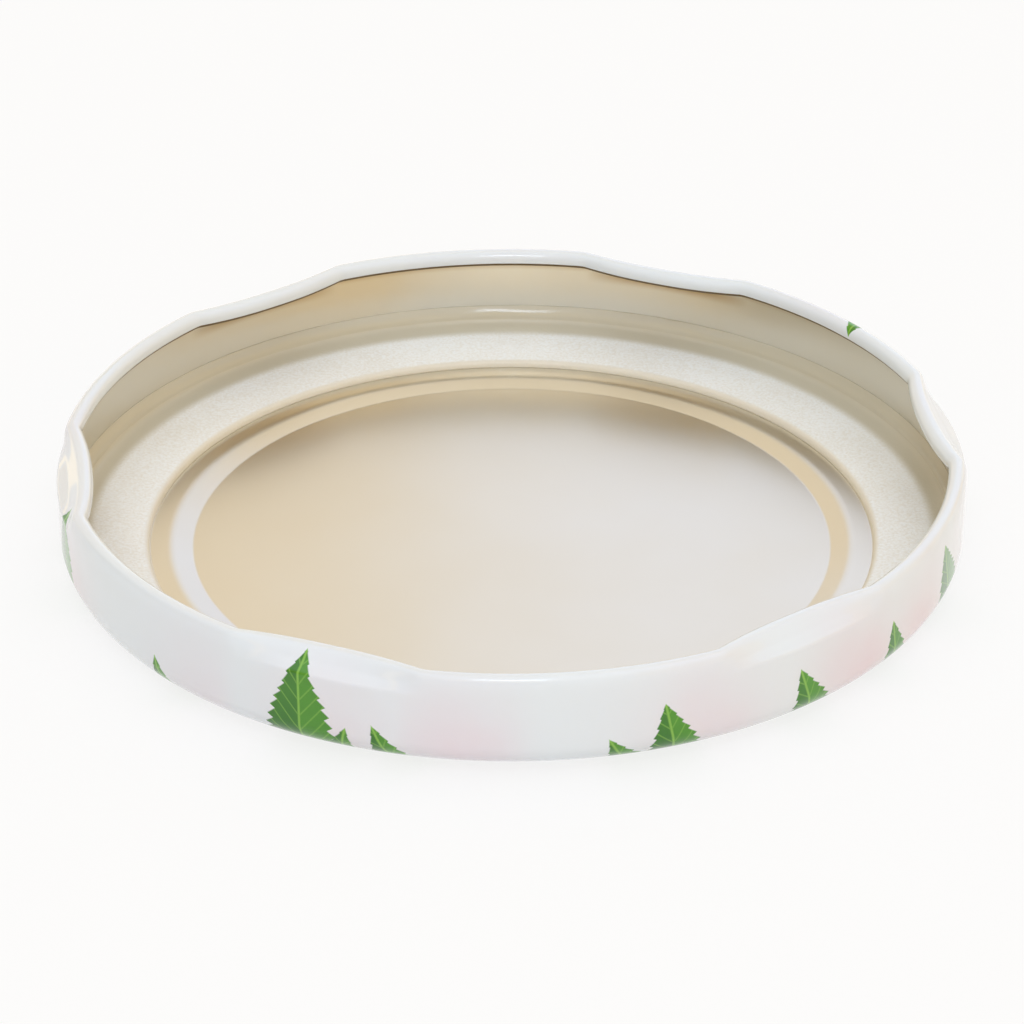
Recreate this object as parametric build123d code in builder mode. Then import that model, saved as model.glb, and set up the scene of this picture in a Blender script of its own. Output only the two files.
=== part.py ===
from build123d import *
import os
from math import cos, sin, radians

# A lug lid for a glass jar, lying on its panel with the open side up.
# The origin is the middle of the face it rests on, +Z is up, all sizes are in millimetres.

# Shell: panel, step, channel, shoulder and skirt pressed from one sheet
RIM_R = 42.8
HEIGHT = 10.5
SHEET = 0.18
PANEL_R = 30.4
STEP_R = 32.2
STEP_H = 0.42
STEP_ROUND = 0.6
CHANNEL_R = 34.4
SHOULDER_Z = 1.2
SHOULDER_R = 2.5
RIM_BAND = 3.0
SKIRT_TOP = HEIGHT - RIM_BAND

# Curl: the edge of the skirt rolled inwards until it lies against the skirt again
CURL_R = 0.86
CURL_MID_R = RIM_R - CURL_R
CURL_MID_Z = HEIGHT - CURL_R
CURL_ANGLES = [90, 187, 285]
CURL_TILT = 2
CURL_SEAT = 0.6

# Pulls of the curves that run from the skirt over the shoulder to the crown of the curl
SKIRT_PULL = 1.1
SHOULDER_PULLS = [-0.55, 0.54]
CROWN_PULL = 0.62
INNER_PULLS = [0.5, 0.4]

# Lugs: six stretches of the curl pressed inwards, with the shoulder over them. Each of the
# pairs gives how far in from the rim and how far down from the top its point stands.
LUGS = 6
LUG_TURN = 7.4
LUG_HALF = 12.2
LUG_IN = 1.7
LUG_DROP = 0.1
LUG_SKIRT_PULLS = [1.1, 0.9]
LUG_SHOULDER = (0.0, 1.3)
LUG_DISH = (0.35, 2.05)
LUG_CROWN_PULL = 0.66
LUG_BACK = (0.4, 1.83)
LUG_SEAT = (1.55, 0.98)
LUG_FLATNESS = 2.2
LUG_SECTIONS = 8
SEAM_TOLERANCE = 1e-4

# Sealing ring: compound flowed into the channel and a little way up the skirt
SEAL_EDGE_Z = 0.98
SEAL_LIP_R = CHANNEL_R + 0.35
SEAL_LIP_Z = 1.27
SEAL_FLAT_R = 40.0
SEAL_FLAT_Z = 1.72
SEAL_BEAD_R = 41.9
SEAL_FLAT_PULL = (1.2, 0.1)
SEAL_BEAD_Z = 2.8
SEAL_BEAD_PULLS = [-0.5, 0.5]
SEAL_TOP_Z = 3.75
SEAL_TOP_PULL = (0.35, 0.1)


def radial_plane(angle):
    a = radians(angle)
    return Plane(origin=(0, 0, 0), x_dir=(cos(a), sin(a), 0), z_dir=(sin(a), -cos(a), 0))


def between(plain, pressed, press):
    return [(a[0] + (b[0] - a[0]) * press, a[1] + (b[1] - a[1]) * press) for a, b in zip(plain, pressed)]


def in_and_down(pair):
    return (RIM_R - pair[0], HEIGHT - pair[1])


def outside_of_rim(press):
    # From the skirt up over the shoulder to the crown of the curl
    plain = [
        (RIM_R, SKIRT_TOP),
        (RIM_R, SKIRT_TOP + SKIRT_PULL),
        (RIM_R, CURL_MID_Z + SHOULDER_PULLS[0]),
        (RIM_R, CURL_MID_Z + SHOULDER_PULLS[1]),
        (CURL_MID_R + CROWN_PULL, HEIGHT),
        (CURL_MID_R, HEIGHT),
    ]
    crown_r = CURL_MID_R - LUG_IN
    crown_z = HEIGHT - LUG_DROP
    pressed = [
        (RIM_R, SKIRT_TOP),
        (RIM_R, SKIRT_TOP + LUG_SKIRT_PULLS[0]),
        in_and_down(LUG_SHOULDER),
        in_and_down(LUG_DISH),
        (crown_r + LUG_CROWN_PULL, crown_z),
        (crown_r, crown_z),
    ]
    return between(plain, pressed, press)


def inside_of_rim(press):
    # From the skirt up to where the edge of the curl lies against it
    face = RIM_R - SHEET
    plain = [
        (face, SKIRT_TOP),
        (face, SKIRT_TOP + INNER_PULLS[0]),
        (face, CURL_MID_Z - CURL_SEAT - INNER_PULLS[1]),
        (face, CURL_MID_Z - CURL_SEAT),
    ]
    pressed = [
        (face, SKIRT_TOP),
        (face, SKIRT_TOP + LUG_SKIRT_PULLS[1]),
        in_and_down(LUG_BACK),
        in_and_down(LUG_SEAT),
    ]
    return between(plain, pressed, press)


def curl_points(press):
    r = CURL_MID_R - LUG_IN * press
    z = CURL_MID_Z - LUG_DROP * press
    return [(r + CURL_R * cos(radians(a)), z + CURL_R * sin(radians(a))) for a in CURL_ANGLES]


def curl_tangents():
    first = radians(CURL_ANGLES[0] + 90 + CURL_TILT)
    last = radians(CURL_ANGLES[-1] + 90)
    return [(cos(first), sin(first)), (cos(last), sin(last))]


with BuildPart() as lug:
    for i in range(-LUG_SECTIONS, LUG_SECTIONS + 1):
        along = i / LUG_SECTIONS
        press = 1 - abs(along) ** LUG_FLATNESS
        outside = outside_of_rim(press)
        inside = inside_of_rim(press)
        curl = curl_points(press)
        with BuildSketch(radial_plane(LUG_HALF * along)):
            with BuildLine():
                Bezier(*outside)
                Spline(*curl, tangents=curl_tangents())
                Line(curl[-1], inside[-1])
                Bezier(*inside)
                Line(inside[0], outside[0])
            make_face()
    loft()

with BuildPart() as plain_rim:
    outside = outside_of_rim(0)
    inside = inside_of_rim(0)
    curl = curl_points(0)
    with BuildSketch(radial_plane(LUG_HALF)):
        with BuildLine():
            Bezier(*outside)
            Spline(*curl, tangents=curl_tangents())
            Line(curl[-1], inside[-1])
            Bezier(*inside)
            Line(inside[0], outside[0])
        make_face()
    revolve(axis=Axis.Z, revolution_arc=360 / LUGS - 2 * LUG_HALF)

with BuildPart() as pan:
    with BuildSketch(Plane.XZ):
        with BuildLine():
            Polyline((0, SHEET), (0, 0), (PANEL_R, 0), (STEP_R, STEP_H), (CHANNEL_R, STEP_H))
            Line((CHANNEL_R, STEP_H), (RIM_R - SHOULDER_R, SHOULDER_Z))
            RadiusArc((RIM_R - SHOULDER_R, SHOULDER_Z), (RIM_R, SHOULDER_Z + SHOULDER_R), -SHOULDER_R)
            Line((RIM_R, SHOULDER_Z + SHOULDER_R), (RIM_R, SKIRT_TOP))
            Line((RIM_R, SKIRT_TOP), (RIM_R - SHEET, SKIRT_TOP))
            Line((RIM_R - SHEET, SKIRT_TOP), (RIM_R - SHEET, SHOULDER_Z + SHOULDER_R))
            corner = RadiusArc(
                (RIM_R - SHEET, SHOULDER_Z + SHOULDER_R),
                (RIM_R - SHOULDER_R, SHOULDER_Z + SHEET),
                SHOULDER_R - SHEET,
            )
            Line(corner @ 1, (CHANNEL_R, STEP_H + SHEET))
            Polyline((CHANNEL_R, STEP_H + SHEET), (STEP_R, STEP_H + SHEET), (PANEL_R, SHEET), (0, SHEET))
        make_face()
        step_corners = [v for v in vertices() if PANEL_R <= v.X <= STEP_R]
        fillet(step_corners, radius=STEP_ROUND)
    revolve(axis=Axis.Z)

# The lofted and the turned stretches meet the skirt along the same circle to about a
# hundredth of a micron, so they are joined with a tolerance.
around = PolarLocations(0, LUGS, start_angle=LUG_TURN)
with BuildPart() as shell:
    add(pan.part.fuse(*(around * lug.part), *(around * plain_rim.part), tol=SEAM_TOLERANCE).clean())

with BuildPart() as sealing_ring:
    with BuildSketch(Plane.XZ):
        with BuildLine():
            Line((CHANNEL_R, STEP_H + SHEET), (RIM_R - SHOULDER_R, SHOULDER_Z + SHEET))
            RadiusArc(
                (RIM_R - SHOULDER_R, SHOULDER_Z + SHEET),
                (RIM_R - SHEET, SHOULDER_Z + SHOULDER_R),
                SHEET - SHOULDER_R,
            )
            Line((RIM_R - SHEET, SHOULDER_Z + SHOULDER_R), (RIM_R - SHEET, SEAL_TOP_Z))
            Bezier(
                (RIM_R - SHEET, SEAL_TOP_Z),
                (RIM_R - SHEET - SEAL_TOP_PULL[0], SEAL_TOP_Z - SEAL_TOP_PULL[1]),
                (SEAL_BEAD_R, SEAL_BEAD_Z + SEAL_BEAD_PULLS[1]),
                (SEAL_BEAD_R, SEAL_BEAD_Z),
            )
            Bezier(
                (SEAL_BEAD_R, SEAL_BEAD_Z),
                (SEAL_BEAD_R, SEAL_BEAD_Z + SEAL_BEAD_PULLS[0]),
                (SEAL_FLAT_R + SEAL_FLAT_PULL[0], SEAL_FLAT_Z + SEAL_FLAT_PULL[1]),
                (SEAL_FLAT_R, SEAL_FLAT_Z),
            )
            Polyline(
                (SEAL_FLAT_R, SEAL_FLAT_Z), (SEAL_LIP_R, SEAL_LIP_Z), (CHANNEL_R, SEAL_EDGE_Z),
                (CHANNEL_R, STEP_H + SHEET)
            )
        make_face()
    revolve(axis=Axis.Z)

os.makedirs("parts", exist_ok=True)
shell.part.label = "shell"
sealing_ring.part.label = "sealing_ring"
export_step(shell.part, "parts/shell.step")
export_step(sealing_ring.part, "parts/sealing_ring.step")
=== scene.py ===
import bpy
import bmesh
from bisect import bisect_left
from math import atan2, cos, degrees, pi, radians, sin, tan
from mathutils import Matrix, Vector, noise


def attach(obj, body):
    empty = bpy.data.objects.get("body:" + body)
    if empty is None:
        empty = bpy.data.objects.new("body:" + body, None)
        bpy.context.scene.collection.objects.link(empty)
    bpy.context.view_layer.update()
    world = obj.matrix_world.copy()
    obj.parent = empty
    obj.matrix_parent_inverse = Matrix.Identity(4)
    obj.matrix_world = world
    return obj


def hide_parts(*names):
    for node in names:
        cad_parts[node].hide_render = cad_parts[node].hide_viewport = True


# A lug lid for a jar, lying open side up: its pressed and enamelled shell and the compound
# that is flowed into its channel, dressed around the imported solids. Sizes are millimetres
# here, and turned to metres where a mesh is made.

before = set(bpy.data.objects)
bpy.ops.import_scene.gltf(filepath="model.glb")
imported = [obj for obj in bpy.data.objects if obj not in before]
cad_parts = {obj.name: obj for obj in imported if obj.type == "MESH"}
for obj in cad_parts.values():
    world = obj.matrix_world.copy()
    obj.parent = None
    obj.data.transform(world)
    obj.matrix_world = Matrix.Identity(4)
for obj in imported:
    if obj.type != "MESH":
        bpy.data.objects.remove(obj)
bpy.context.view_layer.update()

MM = 0.001
COLUMNS = 540
RIM_ROWS = 30

# Shell, with the sizes of the solids, but a wider step with softer corners
RIM_R = 42.8
HEIGHT = 10.5
SHEET = 0.18
PANEL_ROWS = [8, 20]
PANEL_R = 30.4
STEP_R = 32.4
STEP_H = 0.42
STEP_ROUNDS = [0.9, 4.0]
CHANNEL_R = 34.4
CHANNEL_ROUND = 1.2
SHOULDER_Z = 1.2
SHOULDER_R = 2.5
SHOULDER_START = -82
SHOULDER_FOOT_IN = 0.4
SHOULDER_FOOT_DOWN = 0.04
SKIRT_ROWS = [5.0, 6.3]
SKIRT_TOP = HEIGHT - 3.0

# Pulls of the curve that runs from the skirt over the shoulder to the crown of the curl
SKIRT_PULL = 1.1
SHOULDER_PULLS = [-0.55, 0.54]
CROWN_PULL = 0.62
RIM_RUNS = 60

# Curl: its edge stands a little in from its face, with a slit between it and the wall
CURL_R = 0.86
CURL_MID_R = RIM_R - CURL_R
CURL_MID_Z = HEIGHT - CURL_R
CURL_END = 301
CURL_ROWS = 22
CURL_EDGE_IN = 0.14
CURL_SEAT = (RIM_R - SHEET, CURL_MID_Z - 0.3)
SLIT_RISE = 0.06
# Rows of the curl past its crown that stay white; past them the curl is painted brown as shade
WHITE_CURL_ROWS = 11

# Lugs
LUGS = 6
LUG_TURN = 7.4
LUG_HALF = 12.2
LUG_IN = 1.7
LUG_DROP = 0.1
LUG_CROWN = 0.4
LUG_SEAT = (RIM_R - 1.5, HEIGHT - 0.93)
LUG_BACK = (RIM_R - 0.4, HEIGHT - 1.83)
LUG_FLATNESS = 2.2
LUG_RIDGE_Z = HEIGHT - 1.8
LUG_HOLLOW = (RIM_R - 1.05, HEIGHT - 1.13)
LUG_ROUNDS = [0.3, 1.2, 0.4]

# Compound
SEAL_EDGE_Z = 0.98
SEAL_LIP_R = CHANNEL_R + 0.35
SEAL_LIP_Z = 1.27
SEAL_FLAT_R = 40.0
SEAL_FLAT_Z = 1.72
SEAL_FLAT_ROWS = [39.2, 38.2, 37.0, 36.2, 35.6]
SEAL_BEAD_R = 41.9
SEAL_BEAD_Z = 2.8
SEAL_TOP_Z = 3.75
SEAL_SWAY = 0.05
SEAL_RISE = 0.03


def linear(hex_colour):
    """An sRGB colour such as "#E4E8EA" as linear RGBA."""
    parts = [int(hex_colour[i:i + 2], 16) / 255 for i in (1, 3, 5)]
    parts = [c / 12.92 if c <= 0.04045 else ((c + 0.055) / 1.055) ** 2.4 for c in parts]
    return (*parts, 1.0)


def add_node(tree, kind, inputs=(), **settings):
    """Adds a node with its settings and links.

    Inputs are a list, or go by name or number. Each is a value, a socket, or a node whose
    first output it takes.
    """
    made = tree.nodes.new(kind)
    for name, value in settings.items():
        setattr(made, name, value)
    for key, value in (inputs if isinstance(inputs, dict) else dict(enumerate(inputs))).items():
        if isinstance(value, bpy.types.Node):
            value = value.outputs[0]
        if isinstance(value, bpy.types.NodeSocket):
            tree.links.new(value, made.inputs[key])
        else:
            made.inputs[key].default_value = value
    return made


# Sections

def bezier(points, count):
    """Points along a Bezier curve, its first point left out."""
    made = []
    for i in range(1, count + 1):
        row = [Vector(p) for p in points]
        while len(row) > 1:
            row = [a.lerp(b, i / count) for a, b in zip(row, row[1:])]
        made.append(tuple(row[0]))
    return made


def arc(middle, radius, start, end, count):
    """Points along an arc from one angle to another, its first point left out."""
    turns = [radians(start + (end - start) * i / count) for i in range(1, count + 1)]
    return [(middle[0] + radius * cos(a), middle[1] + radius * sin(a)) for a in turns]


def rounded(points, radii, count=5, guard=0.12, pull=0.45):
    """A line through the points, with each inner corner rounded and held by a row each side."""
    made = [points[0]]
    for before, at, after, radius in zip(points, points[1:], points[2:], radii):
        before, at, after = Vector(before), Vector(at), Vector(after)
        one = (before - at).normalized()
        two = (after - at).normalized()
        reach = radius / tan(one.angle(two) / 2)
        start, end = at + one * reach, at + two * reach
        made.append(tuple(start + one * guard))
        made.append(tuple(start))
        made.extend(bezier([start, at + one * reach * pull, at + two * reach * pull, end], count))
        made.append(tuple(end + two * guard))
    return made + [points[-1]]


def spread(path, shares):
    """Points along a path of short runs at the given shares of its length."""
    lengths = [0.0]
    for a, b in zip(path, path[1:]):
        lengths.append(lengths[-1] + (Vector(b) - Vector(a)).length)
    made = []
    for share in shares:
        reach = share * lengths[-1]
        i = min(bisect_left(lengths, reach, 1), len(path) - 1)
        run = (reach - lengths[i - 1]) / (lengths[i] - lengths[i - 1])
        made.append(Vector(path[i - 1]).lerp(Vector(path[i]), run))
    return made


def outside_of_rim(press):
    """The sheet's outer face from the skirt over the shoulder to the crown, as in the solids.

    A pressed stretch stands straight up to a tight ridge, then falls in over a hollow to the
    crown of the curl.
    """
    plain = [(RIM_R, SKIRT_TOP)] + bezier([
        (RIM_R, SKIRT_TOP),
        (RIM_R, SKIRT_TOP + SKIRT_PULL),
        (RIM_R, CURL_MID_Z + SHOULDER_PULLS[0]),
        (RIM_R, CURL_MID_Z + SHOULDER_PULLS[1]),
        (CURL_MID_R + CROWN_PULL, HEIGHT),
        (CURL_MID_R, HEIGHT),
    ], RIM_RUNS)
    crown_r = CURL_MID_R - LUG_IN
    crown_z = HEIGHT - LUG_DROP
    pressed = rounded([
        (RIM_R, SKIRT_TOP),
        (RIM_R, LUG_RIDGE_Z),
        LUG_HOLLOW,
        (crown_r + LUG_CROWN, crown_z),
        (crown_r, crown_z),
    ], LUG_ROUNDS, count=8, guard=0.06)
    shares = [i / RIM_ROWS for i in range(1, RIM_ROWS + 1)]
    return [tuple(a.lerp(b, press)) for a, b in zip(spread(plain, shares), spread(pressed, shares))]


def curl_face(press):
    """The rolled face from the crown round to the sheet's edge, and the slit behind that edge."""
    r = CURL_MID_R - LUG_IN * press
    z = CURL_MID_Z - LUG_DROP * press
    rolled = arc((r, z), CURL_R, 90, CURL_END, CURL_ROWS)
    inner = CURL_R - CURL_EDGE_IN
    edge = Vector((r + inner * cos(radians(CURL_END)), z + inner * sin(radians(CURL_END))))
    wall = Vector(CURL_SEAT).lerp(Vector(LUG_SEAT), press)
    return rolled + [tuple(edge), tuple(edge.lerp(wall, 0.5) + Vector((0, SLIT_RISE))), tuple(wall)]


def inside_of_rim(press):
    """The sheet's inner face from behind the curl's edge down to the skirt."""
    face = RIM_R - SHEET
    plain = [CURL_SEAT, (face, CURL_MID_Z - 1.0), (face, SKIRT_TOP + 0.5), (face, SKIRT_TOP)]
    pressed = [LUG_SEAT, LUG_BACK, (face, SKIRT_TOP + 0.9), (face, SKIRT_TOP)]
    return bezier([Vector(a).lerp(Vector(b), press) for a, b in zip(plain, pressed)], 10)


def lug_press(angle):
    """How far the curl is pressed in at an angle in degrees: 0 on the plain rim, 1 mid lug."""
    pitch = 360 / LUGS
    along = ((angle - LUG_TURN + pitch / 2) % pitch - pitch / 2) / LUG_HALF
    return 1 - abs(along) ** LUG_FLATNESS if abs(along) < 1 else 0.0


def turned(section, closed, shaped=None):
    """Spins a section over a sixth of the turn, shapes that sixth and repeats it all round.

    Each vertex remembers its place in the section as its row, and shaped(place, angle) may
    give it another radius and height. The sixth is centred on a lug.
    """
    bm = bmesh.new()
    row = bm.verts.layers.int.new("row")
    verts = []
    for place, (r, z) in enumerate(section):
        made = bm.verts.new((r * MM, 0, z * MM))
        made[row] = place
        verts.append(made)
    ends = verts[1:] + verts[:1] if closed else verts[1:]
    edges = [bm.edges.new(pair) for pair in zip(verts, ends)]
    pitch = 2 * pi / LUGS
    start = Matrix.Rotation(radians(LUG_TURN) - pitch / 2, 3, "Z")
    bmesh.ops.rotate(bm, verts=verts, cent=(0, 0, 0), matrix=start)
    bmesh.ops.spin(
        bm, geom=verts + edges, cent=(0, 0, 0), axis=(0, 0, 1), dvec=(0, 0, 0),
        angle=pitch, steps=COLUMNS // LUGS, use_merge=False, use_duplicate=False)
    if shaped:
        for vert in bm.verts:
            angle = degrees(atan2(vert.co.y, vert.co.x))
            r, z = shaped(vert[row], angle)
            vert.co = (r * cos(radians(angle)) * MM, r * sin(radians(angle)) * MM, z * MM)
    sixth = bm.verts[:] + bm.edges[:] + bm.faces[:]
    for i in range(1, LUGS):
        made = bmesh.ops.duplicate(bm, geom=sixth)["geom"]
        bmesh.ops.rotate(
            bm, verts=[g for g in made if isinstance(g, bmesh.types.BMVert)], cent=(0, 0, 0),
            matrix=Matrix.Rotation(i * pitch, 3, "Z"))
    bmesh.ops.remove_doubles(bm, verts=bm.verts[:], dist=1e-6)
    return bm


def finish_piece(bm, name, materials, node):
    """Makes the mesh an object of the model that stands for a solid."""
    bmesh.ops.recalc_face_normals(bm, faces=bm.faces[:])
    mesh = bpy.data.meshes.new(name)
    bm.to_mesh(mesh)
    bm.free()
    for material in materials:
        mesh.materials.append(material)
    mesh.polygons.foreach_set("use_smooth", [True] * len(mesh.polygons))
    piece = bpy.data.objects.new(name, mesh)
    bpy.context.collection.objects.link(piece)
    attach(piece, "root")
    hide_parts(node)


# Materials

def new_material(name):
    material = bpy.data.materials.new(name)
    material.use_nodes = True
    material.node_tree.nodes.clear()
    return material, material.node_tree


def radius_from_axis(tree, axes):
    """The distance from the lid's axis in millimetres."""
    flat = add_node(tree, "ShaderNodeCombineXYZ", [axes[0], axes[1]])
    out = add_node(tree, "ShaderNodeVectorMath", [flat], operation="LENGTH").outputs["Value"]
    return add_node(tree, "ShaderNodeMath", [out, 1 / MM], operation="MULTIPLY")


# Printed enamel: white roller-coated enamel with a litho print under clear varnish, stoved
# on tinplate. The eye sees a clean white with a soft gloss and a crisp line of light along
# the rim; the leaves lie flat in the surface.
ENAMEL_WHITE = "#E4ECF3"
LEAF_DEEP = "#1F6408"
LEAF_LIGHT = "#5AA51A"
LEAF_VEIN = "#84BC44"
BLUSH = "#E8B4C3"

# Rows of leaves: cells round the lid, turn and random seed, then foot, length and half width
# in millimetres and the span of their lean in radians
LEAF_ROWS = [
    {"cells": 7, "phase": 0.79, "seed": 3.7, "foot": -6.5, "long": 17.0, "wide": 3.9, "lean": 0.7},
    {"cells": 10, "phase": 0.36, "seed": 8.2, "foot": -6.0, "long": 12.0, "wide": 2.4, "lean": 1.3},
    {"cells": 5, "phase": 0.12, "seed": 5.1, "foot": -7.0, "long": 14.0, "wide": 2.9, "lean": 1.0},
]
LEAF_WANDER = 7.0
LEAF_SIZES = [0.8, 1.15]
LEAF_OUTLINE = [(0.0, 0.06), (0.14, 0.6), (0.36, 1.0), (0.62, 0.82), (0.84, 0.4), (1.0, 0.0)]
LEAF_EDGE = [-0.02, 0.09]
TEETH_PER_MM = 0.85
TOOTH_SLANT = -0.55
TOOTH_DEPTH = 0.2
RIB_EDGE = [0.05, 0.16]
RIB_SHOWS = 0.9
VEIN_SLANT = 0.8
VEIN_GAP = 0.62
VEIN_EDGE = [0.03, 0.12]
VEIN_SHOWS = 0.5
HALF_EDGE = [-0.25, 0.25]
HALF_SHOWS = 0.35

# Blush: how fast it fades per millimetre and where its middle lies, up the skirt and round it
BLUSH_UP = [0.15, -0.3]
BLUSH_ROUND = [0.17, -0.5]
BLUSH_END = 0.32
BLUSH_MOST = 0.6


def leaf_row(tree, row, turn, radius, along, blotch):
    """One row of leaves, one to a cell: their mask, their shade, their veins and their blush."""
    cells = row["cells"]
    count = add_node(
        tree, "ShaderNodeMath", [turn, cells / (2 * pi), cells + row["phase"]],
        operation="MULTIPLY_ADD")
    whole = add_node(tree, "ShaderNodeMath", [count], operation="FLOOR")
    cell = add_node(tree, "ShaderNodeMath", [whole, cells], operation="MODULO")
    part = add_node(tree, "ShaderNodeMath", [count], operation="FRACT")
    inside = add_node(tree, "ShaderNodeMath", [part, 0.5], operation="SUBTRACT")
    seed = add_node(tree, "ShaderNodeMath", [cell, row["seed"]], operation="ADD")
    chance = add_node(tree, "ShaderNodeTexWhiteNoise", {"W": seed}, noise_dimensions="1D")
    pick = add_node(tree, "ShaderNodeSeparateXYZ", [chance.outputs["Color"]]).outputs

    # The leaf lies somewhere in its cell, leans a little, and is larger or smaller
    wide = add_node(tree, "ShaderNodeMath", [inside, radius], operation="MULTIPLY")
    wide = add_node(tree, "ShaderNodeMath", [wide, 2 * pi / cells], operation="MULTIPLY")
    wander = add_node(
        tree, "ShaderNodeMath", [pick[0], LEAF_WANDER, -LEAF_WANDER / 2], operation="MULTIPLY_ADD")
    sideways = add_node(tree, "ShaderNodeMath", [wide, wander], operation="ADD")
    onward = add_node(tree, "ShaderNodeMath", [along, row["foot"]], operation="SUBTRACT")
    spot = add_node(tree, "ShaderNodeCombineXYZ", [sideways, onward])
    lean = add_node(
        tree, "ShaderNodeMath", [pick[1], row["lean"], -row["lean"] / 2], operation="MULTIPLY_ADD")
    laid = add_node(
        tree, "ShaderNodeVectorRotate", {"Vector": spot, "Angle": lean}, rotation_type="Z_AXIS")
    across, up = add_node(tree, "ShaderNodeSeparateXYZ", [laid]).outputs[:2]
    size = add_node(
        tree, "ShaderNodeMath", [pick[2], LEAF_SIZES[1] - LEAF_SIZES[0], LEAF_SIZES[0]],
        operation="MULTIPLY_ADD")
    full = add_node(tree, "ShaderNodeMath", [size, row["long"]], operation="MULTIPLY")
    length = add_node(tree, "ShaderNodeMath", [up, full], operation="DIVIDE")

    # Its outline, cut into teeth that point to its tip
    outline = add_node(tree, "ShaderNodeFloatCurve", {"Value": length})
    curve = outline.mapping.curves[0]
    curve.points[0].location = LEAF_OUTLINE[0]
    curve.points[1].location = LEAF_OUTLINE[-1]
    for point in LEAF_OUTLINE[1:-1]:
        curve.points.new(*point)
    outline.mapping.update()
    half = add_node(tree, "ShaderNodeMath", [outline, size], operation="MULTIPLY")
    half = add_node(tree, "ShaderNodeMath", [half, row["wide"]], operation="MULTIPLY")
    off = add_node(tree, "ShaderNodeMath", [across], operation="ABSOLUTE")
    teeth = add_node(tree, "ShaderNodeMath", [up, TEETH_PER_MM], operation="MULTIPLY")
    teeth = add_node(tree, "ShaderNodeMath", [off, TOOTH_SLANT, teeth], operation="MULTIPLY_ADD")
    tooth = add_node(tree, "ShaderNodeMath", [teeth], operation="FRACT")
    cut = add_node(tree, "ShaderNodeMath", [tooth, -TOOTH_DEPTH, 1.0], operation="MULTIPLY_ADD")
    half = add_node(tree, "ShaderNodeMath", [half, cut], operation="MULTIPLY")
    body = add_node(tree, "ShaderNodeMath", [half, off], operation="SUBTRACT")
    edge = add_node(
        tree, "ShaderNodeMapRange",
        {"Value": body, "From Min": LEAF_EDGE[0], "From Max": LEAF_EDGE[1]})
    past_foot = add_node(tree, "ShaderNodeMath", [length, 0.0], operation="GREATER_THAN")
    below_tip = add_node(tree, "ShaderNodeMath", [length, 1.0], operation="LESS_THAN")
    within = add_node(tree, "ShaderNodeMath", [past_foot, below_tip], operation="MULTIPLY")
    mask = add_node(tree, "ShaderNodeMath", [edge, within], operation="MULTIPLY")

    # A pale rib and slanting veins, and one half of the leaf lighter than the other
    rib = add_node(
        tree, "ShaderNodeMapRange",
        {"Value": off, "From Min": RIB_EDGE[0], "From Max": RIB_EDGE[1],
         "To Min": RIB_SHOWS, "To Max": 0.0})
    slant = add_node(tree, "ShaderNodeMath", [up, VEIN_SLANT], operation="MULTIPLY")
    slant = add_node(tree, "ShaderNodeMath", [slant, off], operation="SUBTRACT")
    wave = add_node(tree, "ShaderNodeMath", [slant, VEIN_GAP], operation="PINGPONG")
    vein = add_node(
        tree, "ShaderNodeMapRange",
        {"Value": wave, "From Min": VEIN_EDGE[0], "From Max": VEIN_EDGE[1],
         "To Min": VEIN_SHOWS, "To Max": 0.0})
    veins = add_node(tree, "ShaderNodeMath", [rib, vein], operation="MAXIMUM")
    side = add_node(
        tree, "ShaderNodeMapRange",
        {"Value": across, "From Min": HALF_EDGE[0], "From Max": HALF_EDGE[1]})
    side = add_node(tree, "ShaderNodeMath", [side, HALF_SHOWS, -0.2], operation="MULTIPLY_ADD")
    shade = add_node(tree, "ShaderNodeMath", [blotch, 0.9, side], operation="MULTIPLY_ADD")

    # A blush of pink beside the leaf's foot, gone before its cell ends
    rise = add_node(tree, "ShaderNodeMath", [along, *BLUSH_UP], operation="MULTIPLY_ADD")
    aside = add_node(tree, "ShaderNodeMath", [sideways, *BLUSH_ROUND], operation="MULTIPLY_ADD")
    aside = add_node(tree, "ShaderNodeMath", [aside, aside], operation="MULTIPLY")
    far = add_node(tree, "ShaderNodeMath", [rise, rise, aside], operation="MULTIPLY_ADD")
    far = add_node(tree, "ShaderNodeMath", [far, -1.0], operation="MULTIPLY")
    glow = add_node(tree, "ShaderNodeMath", [far], operation="EXPONENT")
    glow = add_node(tree, "ShaderNodeMath", [glow, pick[2]], operation="MULTIPLY")
    from_middle = add_node(tree, "ShaderNodeMath", [inside], operation="ABSOLUTE")
    ends = add_node(
        tree, "ShaderNodeMapRange",
        {"Value": from_middle, "From Min": BLUSH_END, "From Max": 0.5,
         "To Min": 1.0, "To Max": 0.0}, interpolation_type="SMOOTHSTEP")
    blush = add_node(tree, "ShaderNodeMath", [glow, ends], operation="MULTIPLY")
    return mask, shade, veins, blush


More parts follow.
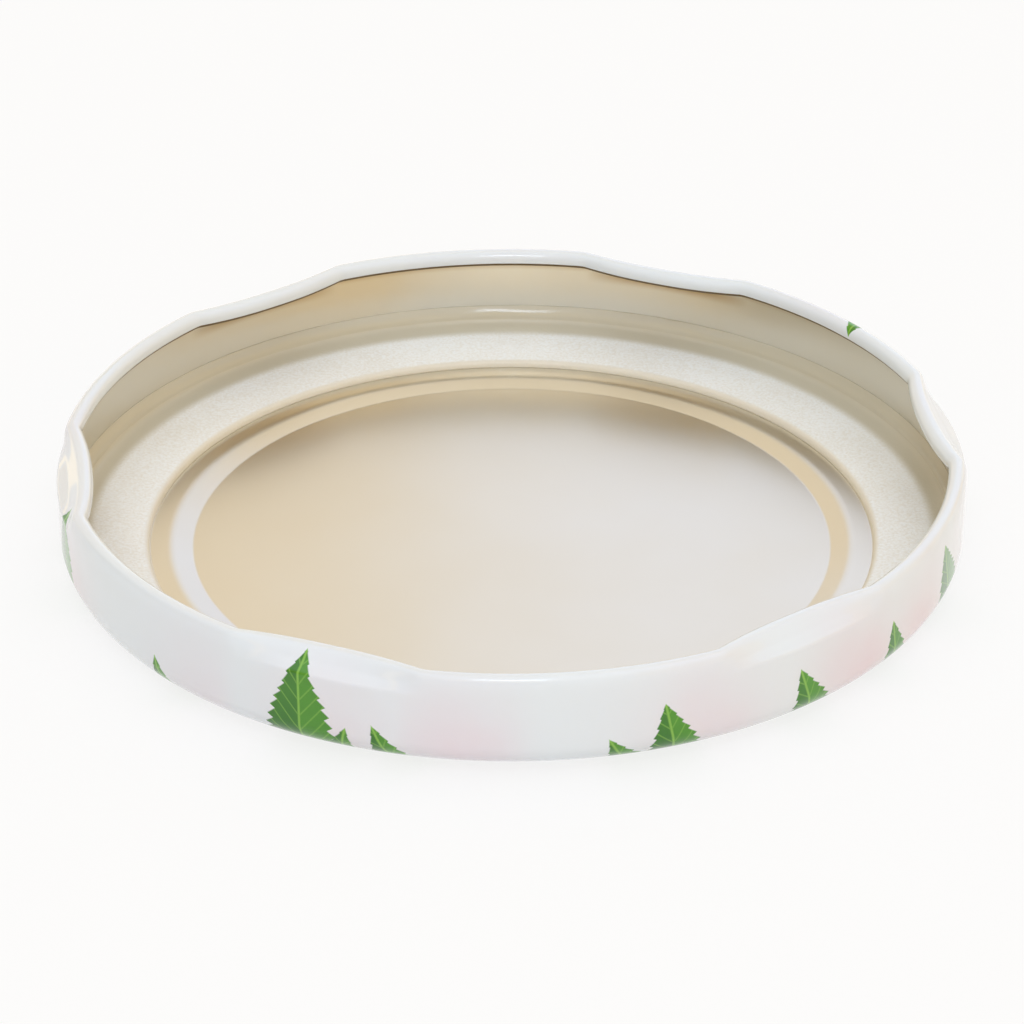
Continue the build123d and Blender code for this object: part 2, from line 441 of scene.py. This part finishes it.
def printed_enamel():
    material, tree = new_material("printed_white_enamel")
    place = add_node(tree, "ShaderNodeTexCoord").outputs["Object"]
    axes = add_node(tree, "ShaderNodeSeparateXYZ", [place]).outputs
    turn = add_node(tree, "ShaderNodeMath", [axes[1], axes[0]], operation="ARCTAN2")
    radius = radius_from_axis(tree, axes)
    along = add_node(tree, "ShaderNodeAttribute", attribute_name="along").outputs["Fac"]
    blotch = add_node(tree, "ShaderNodeTexNoise", {"Vector": place, "Scale": 95.0, "Detail": 3.0})
    leaves = [leaf_row(tree, row, turn, radius, along, blotch) for row in LEAF_ROWS]
    haze = leaves[0][3]
    for leaf in leaves[1:]:
        haze = add_node(tree, "ShaderNodeMath", [haze, leaf[3]], operation="MAXIMUM")
    drift = add_node(tree, "ShaderNodeMath", [blotch, 1.1], operation="MULTIPLY")
    haze = add_node(tree, "ShaderNodeMath", [haze, drift], operation="MULTIPLY")
    haze = add_node(tree, "ShaderNodeMath", [haze, BLUSH_MOST], operation="MINIMUM")
    top = add_node(
        tree, "ShaderNodeMix", {"Factor": haze, 6: linear(ENAMEL_WHITE), 7: linear(BLUSH)},
        data_type="RGBA").outputs[2]
    for mask, shade, veins, _ in leaves:
        green = add_node(
            tree, "ShaderNodeMix", {"Factor": shade, 6: linear(LEAF_DEEP), 7: linear(LEAF_LIGHT)},
            data_type="RGBA").outputs[2]
        veined = add_node(
            tree, "ShaderNodeMix", {"Factor": veins, 6: green, 7: linear(LEAF_VEIN)},
            data_type="RGBA").outputs[2]
        top = add_node(
            tree, "ShaderNodeMix", {"Factor": mask, 6: top, 7: veined}, data_type="RGBA").outputs[2]
    # Flow of the varnish, about 2.5 mm from swell to swell and a few microns high
    peel = add_node(tree, "ShaderNodeTexNoise", {"Vector": place, "Scale": 400.0, "Detail": 2.0})
    bump = add_node(
        tree, "ShaderNodeBump", {"Height": peel, "Distance": 0.000004, "Strength": 0.6})
    shader = add_node(tree, "ShaderNodeBsdfPrincipled", {
        "Base Color": top, "Roughness": 0.3, "IOR": 1.5, "Specular IOR Level": 0.1,
        "Coat Weight": 1.0, "Coat Roughness": 0.05, "Coat IOR": 1.5, "Normal": bump})
    add_node(tree, "ShaderNodeOutputMaterial", {"Surface": shader})
    return material


# Cut edge and curl shade: the sheet's cut edge and the gap behind it at the foot of the curl,
# and the curl's underside up to them, painted brown as the shade under the curl. The eye
# sees a thin brown line between the white curl and the wall.
EDGE_AND_SHADE_BROWN = "#77654A"


def edge_and_curl_shade():
    material, tree = new_material("cut_edge_and_curl_shade")
    place = add_node(tree, "ShaderNodeTexCoord").outputs["Object"]
    stain = add_node(tree, "ShaderNodeTexNoise", {"Vector": place, "Scale": 700.0, "Detail": 2.0})
    rough = add_node(tree, "ShaderNodeMapRange", {"Value": stain, "To Min": 0.4, "To Max": 0.65})
    shader = add_node(tree, "ShaderNodeBsdfPrincipled", {
        "Base Color": linear(EDGE_AND_SHADE_BROWN), "Metallic": 0.6, "Roughness": rough})
    add_node(tree, "ShaderNodeOutputMaterial", {"Surface": shader})
    return material


# Cream lacquer: thin gold-cream lacquer stoved on bright tinplate. The eye sees a satin,
# half metallic face: white where it meets the light, warm tan where it meets the wall.
# Behind the curl and under the lugs a darker gold is painted in, from one height to the next:
# painted shade under the curl and the painted shadow that each lug casts on the wall.
LACQUER = "#DEDCD3"
LACQUER_WARM = "#DAD4C3"
LACQUER_PAINTED_SHADE = "#A8874A"
SHADE_BEHIND_CURL = [7.8, 9.0]
SHADOW_UNDER_LUG = [6.6, 7.9]


def cream_lacquer():
    material, tree = new_material("cream_lacquer_on_tinplate")
    place = add_node(tree, "ShaderNodeTexCoord").outputs["Object"]
    cloud = add_node(tree, "ShaderNodeTexNoise", {"Vector": place, "Scale": 60.0, "Detail": 2.0})
    colour = add_node(
        tree, "ShaderNodeMix", {"Factor": cloud, 6: linear(LACQUER), 7: linear(LACQUER_WARM)},
        data_type="RGBA")
    height = add_node(tree, "ShaderNodeSeparateXYZ", [place]).outputs[2]
    # Painted shade behind the curl, and the painted shadow of each lug, between two heights
    behind_curl, under_lug = [
        add_node(
            tree, "ShaderNodeMapRange",
            {"Value": height, "From Min": start * MM, "From Max": end * MM},
            interpolation_type="SMOOTHSTEP")
        for start, end in (SHADE_BEHIND_CURL, SHADOW_UNDER_LUG)]
    pressed = add_node(tree, "ShaderNodeAttribute", attribute_name="pressed").outputs["Fac"]
    under_lug = add_node(tree, "ShaderNodeMath", [under_lug, pressed], operation="MULTIPLY")
    shade_share = add_node(tree, "ShaderNodeMath", [behind_curl, under_lug], operation="MAXIMUM")
    colour = add_node(
        tree, "ShaderNodeMix", {"Factor": shade_share, 6: colour.outputs[2], 7: linear(LACQUER_PAINTED_SHADE)},
        data_type="RGBA")
    # Rolling grain of the tinplate: hair lines along one direction, drawn 0.2 mm apart, the
    # finest that show, which change the gloss a little
    grain_place = add_node(
        tree, "ShaderNodeMapping", {"Vector": place, "Scale": (300.0, 5000.0, 300.0)})
    grain = add_node(
        tree, "ShaderNodeTexNoise", {"Vector": grain_place, "Scale": 1.0, "Detail": 1.0})
    rough = add_node(tree, "ShaderNodeMapRange", {"Value": grain, "To Min": 0.28, "To Max": 0.31})
    shader = add_node(tree, "ShaderNodeBsdfPrincipled", {
        "Base Color": colour.outputs[2], "Metallic": 0.93, "Roughness": rough,
        "Coat Weight": 0.5, "Coat Roughness": 0.15, "Coat IOR": 1.5})
    add_node(tree, "ShaderNodeOutputMaterial", {"Surface": shader})
    return material


# Compound: soft plastisol flowed in and cured. The eye sees an off-white, slightly waxy
# band with a fine orange peel that breaks the light into grains about 0.25 mm across. Where
# it thins out at the lip, from one radius to the next, the lacquer under it shows through.
# Up the wall it is darker from one radius on, partly lacquer showing through and partly a
# painted reflection of the darker wall. The bead up the wall is smooth and glossy.
COMPOUND = "#FAFDFD"
COMPOUND_WARM = "#EFEEE8"
WALL_TONE_AND_REFLECTION = "#CEC8B4"
THIN_AT_LIP = "#E3DDCE"
EDGE_TONE_ZONES = [(39.5, 40.7, WALL_TONE_AND_REFLECTION), (35.1, 34.6, THIN_AT_LIP)]
PEEL_END = [40.4, 41.4]
GLOSS_START = [41.85, 41.95]


def plastisol():
    material, tree = new_material("cured_plastisol")
    place = add_node(tree, "ShaderNodeTexCoord").outputs["Object"]
    radius = radius_from_axis(tree, add_node(tree, "ShaderNodeSeparateXYZ", [place]).outputs)
    cloud = add_node(tree, "ShaderNodeTexNoise", {"Vector": place, "Scale": 120.0, "Detail": 3.0})
    peel = add_node(tree, "ShaderNodeTexNoise", {"Vector": place, "Scale": 3600.0, "Detail": 1.5})
    # Light and shade of the peel's grains, gathered in drifts a few millimetres across
    drift = add_node(tree, "ShaderNodeMath", [cloud, 1.2, -1.35], operation="MULTIPLY_ADD")
    mottle = add_node(tree, "ShaderNodeMath", [peel, 2.4, drift], operation="MULTIPLY_ADD")
    colour = add_node(
        tree, "ShaderNodeMix", {"Factor": mottle, 6: linear(COMPOUND), 7: linear(COMPOUND_WARM)},
        data_type="RGBA")
    # Darker tones at the edges: lacquer through thin compound, and up the wall painted reflection
    for start, end, edge_tone in EDGE_TONE_ZONES:
        share = add_node(
            tree, "ShaderNodeMapRange", {"Value": radius, "From Min": start, "From Max": end},
            interpolation_type="SMOOTHSTEP")
        colour = add_node(
            tree, "ShaderNodeMix", {"Factor": share, 6: colour.outputs[2], 7: linear(edge_tone)},
            data_type="RGBA")
    peel_share = add_node(
        tree, "ShaderNodeMapRange",
        {"Value": radius, "From Min": PEEL_END[0], "From Max": PEEL_END[1],
         "To Min": 0.8, "To Max": 0.12})
    bump = add_node(
        tree, "ShaderNodeBump", {"Height": peel, "Distance": 0.00006, "Strength": peel_share})
    rough = add_node(
        tree, "ShaderNodeMapRange",
        {"Value": radius, "From Min": GLOSS_START[0], "From Max": GLOSS_START[1],
         "To Min": 0.3, "To Max": 0.12})
    shader = add_node(tree, "ShaderNodeBsdfPrincipled", {
        "Base Color": colour.outputs[2], "Roughness": rough, "IOR": 1.5, "Normal": bump})
    add_node(tree, "ShaderNodeOutputMaterial", {"Surface": shader})
    return material


# Shell

corner = (RIM_R - SHOULDER_R, SHOULDER_Z + SHOULDER_R)
foot_r = RIM_R - SHOULDER_R - SHOULDER_FOOT_IN
bottom_line = [(0, 0), (PANEL_ROWS[0], 0)] + rounded([
    (PANEL_ROWS[1], 0),
    (PANEL_R, 0),
    (STEP_R, STEP_H),
    (CHANNEL_R, STEP_H),
    (foot_r, SHOULDER_Z - SHOULDER_FOOT_DOWN),
], STEP_ROUNDS + [CHANNEL_ROUND])
shoulder_out = arc(corner, SHOULDER_R, SHOULDER_START, 0, 14)
skirt_out = [(RIM_R, z) for z in SKIRT_ROWS + [SKIRT_TOP]]
skirt_in = [(RIM_R - SHEET, z) for z in SKIRT_ROWS[::-1] + [SHOULDER_Z + SHOULDER_R]]
shoulder_in = arc(corner, SHOULDER_R - SHEET, 0, SHOULDER_START, 10)
top_line = rounded([
    (foot_r, SHOULDER_Z + SHEET - SHOULDER_FOOT_DOWN),
    (CHANNEL_R, STEP_H + SHEET),
    (STEP_R, STEP_H + SHEET),
    (PANEL_R, SHEET),
    (PANEL_ROWS[1], SHEET),
], [CHANNEL_ROUND] + STEP_ROUNDS[::-1]) + [(PANEL_ROWS[0], SHEET), (0, SHEET)]


def shell_section(press):
    """The whole section of the sheet from the middle underneath round to the middle inside."""
    outer = bottom_line + shoulder_out + skirt_out + outside_of_rim(press)
    return outer + curl_face(press) + inside_of_rim(press) + skirt_in + shoulder_in + top_line


sections = {}


def shell_point(place, angle):
    press = round(lug_press(angle), 6)
    if press not in sections:
        sections[press] = shell_section(press)
    return sections[press][place]


plain_section = shell_section(0)
crown = len(bottom_line + shoulder_out + skirt_out) + RIM_ROWS
white_curl_end = crown + WHITE_CURL_ROWS
edge_end = crown + len(curl_face(0)) - 1
reach = [0.0]
for a, b in zip(plain_section, plain_section[1:]):
    reach.append(reach[-1] + (Vector(b) - Vector(a)).length)
skirt_foot = reach[plain_section.index((RIM_R, SKIRT_TOP))] - SKIRT_TOP
bm = turned(plain_section, False, shell_point)
# How far up the sheet each point lay when it was flat and printed, and how far the lug is
# pressed in above or below it
along = bm.verts.layers.float.new("along")
pressed = bm.verts.layers.float.new("pressed")
row = bm.verts.layers.int["row"]
for vert in bm.verts:
    vert[along] = reach[vert[row]] - skirt_foot
    vert[pressed] = lug_press(degrees(atan2(vert.co.y, vert.co.x)))
# Past its white rows the curl's underside takes the brown of painted shade, with the cut edge
for face in bm.faces:
    place = max(v[row] for v in face.verts)
    face.material_index = 0 if place <= white_curl_end else 1 if place <= edge_end else 2
finish_piece(
    bm, "lid_shell", [printed_enamel(), edge_and_curl_shade(), cream_lacquer()],
    "shell")

# Compound ring: a bead up the wall, a hollow, a flat that falls inwards, and a rounded lip

bead = bezier([
    (RIM_R - SHEET, SEAL_TOP_Z),
    (RIM_R - SHEET - 0.28, SEAL_TOP_Z - 0.32),
    (SEAL_BEAD_R + 0.06, SEAL_BEAD_Z + 0.25),
    (SEAL_BEAD_R, SEAL_BEAD_Z - 0.2),
], 16)
hollow = bezier([
    (SEAL_BEAD_R, SEAL_BEAD_Z - 0.2),
    (SEAL_BEAD_R - 0.06, SEAL_BEAD_Z - 0.62),
    (SEAL_FLAT_R + 1.1, SEAL_FLAT_Z + 0.12),
    (SEAL_FLAT_R, SEAL_FLAT_Z),
], 14)
fall = (SEAL_LIP_Z - SEAL_FLAT_Z) / (SEAL_FLAT_R - SEAL_LIP_R)
flat = [(r, SEAL_FLAT_Z + fall * (SEAL_FLAT_R - r)) for r in SEAL_FLAT_ROWS]
lip = bezier([
    (CHANNEL_R + 0.75, SEAL_LIP_Z + 0.03),
    (SEAL_LIP_R - 0.1, SEAL_LIP_Z + 0.02),
    (CHANNEL_R + 0.02, SEAL_EDGE_Z + 0.16),
    (CHANNEL_R, STEP_H + SHEET),
], 12)
under = [(RIM_R - SHOULDER_R, SHOULDER_Z + SHEET)] + arc(corner, SHOULDER_R - SHEET, -90, 0, 8)
bm = turned([(RIM_R - SHEET, SEAL_TOP_Z)] + bead + hollow + flat + lip + under, True)
row = bm.verts.layers.int["row"]
for vert in bm.verts:
    place = vert[row]
    if 1 < place < len(bead + hollow + flat):
        # The compound lies a few hundredths of a millimetre uneven, as it flowed
        a = atan2(vert.co.y, vert.co.x)
        sway = noise.noise(Vector((cos(a) * 9, sin(a) * 9, place * 0.08)))
        rise = noise.noise(Vector((cos(a) * 5, sin(a) * 5, 4 + place * 0.05)))
        outwards = Vector((cos(a), sin(a), 0))
        vert.co += outwards * (SEAL_SWAY * sway * MM) + Vector((0, 0, SEAL_RISE * rise * MM))
finish_piece(bm, "compound_ring", [plastisol()], "sealing_ring")

# Floor, light and camera, in metres

FLOOR_HALF = 3.0
SCREEN_R = 1.3
SCREEN_ROWS = 6
SCREEN_COLUMNS = 8


def seen_directly(tree):
    """1 for rays from the camera, off gloss or through glass, else 0."""
    path = add_node(tree, "ShaderNodeLightPath").outputs
    plain = add_node(
        tree, "ShaderNodeMath", [path["Is Camera Ray"], path["Is Glossy Ray"]], operation="MAXIMUM")
    return add_node(
        tree, "ShaderNodeMath", [plain, path["Is Transmission Ray"]], operation="MAXIMUM")


bm = bmesh.new()
bmesh.ops.create_grid(bm, x_segments=1, y_segments=1, size=FLOOR_HALF)
floor_mesh = bpy.data.meshes.new("floor")
bm.to_mesh(floor_mesh)
bm.free()
floor_piece = bpy.data.objects.new("floor", floor_mesh)
bpy.context.collection.objects.link(floor_piece)

# White paper: it takes the lid's shadow, and what is seen of it is mostly its own even white
floor_material, tree = new_material("white_paper")
paper = add_node(tree, "ShaderNodeBsdfDiffuse", {"Color": (0.86, 0.86, 0.86, 1)})
glow = add_node(tree, "ShaderNodeEmission", {"Color": (1, 1, 1, 1), "Strength": 1.0})
share = add_node(tree, "ShaderNodeMath", [seen_directly(tree), 0.82], operation="MULTIPLY")
mixed = add_node(tree, "ShaderNodeMixShader", [share, paper, glow])
add_node(tree, "ShaderNodeOutputMaterial", {"Surface": mixed})
floor_mesh.materials.append(floor_material)

world = bpy.data.worlds.new("studio")
bpy.context.scene.world = world
world.use_nodes = True
tree = world.node_tree
tree.nodes.clear()
soft = add_node(tree, "ShaderNodeBackground", {"Color": (0.89, 0.95, 1, 1), "Strength": 0.69})
backdrop = add_node(tree, "ShaderNodeBackground", {"Color": (1, 1, 1, 1), "Strength": 1.0})
mixed = add_node(tree, "ShaderNodeMixShader", [seen_directly(tree), soft, backdrop])
add_node(tree, "ShaderNodeOutputWorld", {"Surface": mixed})


def screen(name, azimuths, elevations, colour, level):
    """A curved screen round the lid, seen in gloss but not by the camera."""
    bm = bmesh.new()
    low, high = elevations
    turns = [radians(low + (high - low) * i / SCREEN_ROWS) for i in range(SCREEN_ROWS + 1)]
    verts = [bm.verts.new((SCREEN_R * cos(a), 0, SCREEN_R * sin(a))) for a in turns]
    edges = [bm.edges.new(pair) for pair in zip(verts, verts[1:])]
    bmesh.ops.rotate(
        bm, verts=verts, cent=(0, 0, 0), matrix=Matrix.Rotation(radians(azimuths[0]), 3, "Z"))
    bmesh.ops.spin(
        bm, geom=verts + edges, cent=(0, 0, 0), axis=(0, 0, 1), dvec=(0, 0, 0),
        angle=radians(azimuths[1] - azimuths[0]), steps=SCREEN_COLUMNS,
        use_merge=False, use_duplicate=False)
    mesh = bpy.data.meshes.new(name)
    bm.to_mesh(mesh)
    bm.free()
    made = bpy.data.objects.new(name, mesh)
    bpy.context.collection.objects.link(made)
    material, tree = new_material(name)
    shine = add_node(tree, "ShaderNodeEmission", {"Color": linear(colour), "Strength": level})
    add_node(tree, "ShaderNodeOutputMaterial", {"Surface": shine})
    mesh.materials.append(material)
    made.visible_camera = False


screen("cool_screen_back", (58, 91.5), (7, 38), "#E3EAFF", 1.42)
screen("warm_screen_left", (92.5, 150), (7, 50), "#FFEBCB", 1.03)
screen("warm_screen_top", (85, 150), (51, 78), "#FFE9BE", 0.97)
screen("gold_screen_top", (45, 84), (39, 78), "#FFE6BC", 1.1)
screen("warm_strip_back", (35, 145), (0.5, 5), "#FFEBC6", 1.9)
screen("warm_screen_right", (-62, 50), (1, 32), "#F6D296", 1.2)
screen("dim_screen_left", (150, 222), (1, 40), "#F4DEB6", 0.6)
screen("cool_screen_front", (-138, -62), (4, 22), "#E2ECFF", 0.95)
screen("warm_screen_front", (-150, -30), (24, 34), "#FFE3B6", 2.0)


def soft_box(name, azimuth, elevation, width, height, colour, level):
    """A lamp one metre off that looks at the lid; its sides are degrees as the lid sees them."""
    light = bpy.data.lights.new(name, "AREA")
    light.shape = "RECTANGLE"
    light.size = 2 * tan(radians(width / 2))
    light.size_y = 2 * tan(radians(height / 2))
    light.energy = 4 * light.size * light.size_y * level
    light.color = linear(colour)[:3]
    made = bpy.data.objects.new(name, light)
    bpy.context.collection.objects.link(made)
    a, e = radians(azimuth), radians(elevation)
    made.location = (cos(e) * cos(a), cos(e) * sin(a), sin(e))
    made.rotation_euler = (-made.location).to_track_quat("-Z", "Y").to_euler()
    made.visible_camera = False


soft_box("key", -90, 48, 14, 12, "#E0ECFF", 6.8)
soft_box("top", -90, 84, 66, 66, "#E6EFFF", 0.36)

AIM = Vector((0, 0, 0.005))
ELEVATION = radians(29.02)
DISTANCE = 0.3593
camera_data = bpy.data.cameras.new("camera")
camera_data.sensor_width = 36
camera_data.lens = 132.89
camera_data.shift_x = 0.0005
camera_data.shift_y = -0.0201
camera_data.clip_start = 0.01
camera_data.clip_end = 20
camera = bpy.data.objects.new("camera", camera_data)
bpy.context.collection.objects.link(camera)
camera.location = AIM + Vector((0, -cos(ELEVATION), sin(ELEVATION))) * DISTANCE
camera.rotation_euler = (pi / 2 - ELEVATION, 0, 0)
bpy.context.scene.camera = camera
bpy.context.scene.view_settings.view_transform = "Standard"
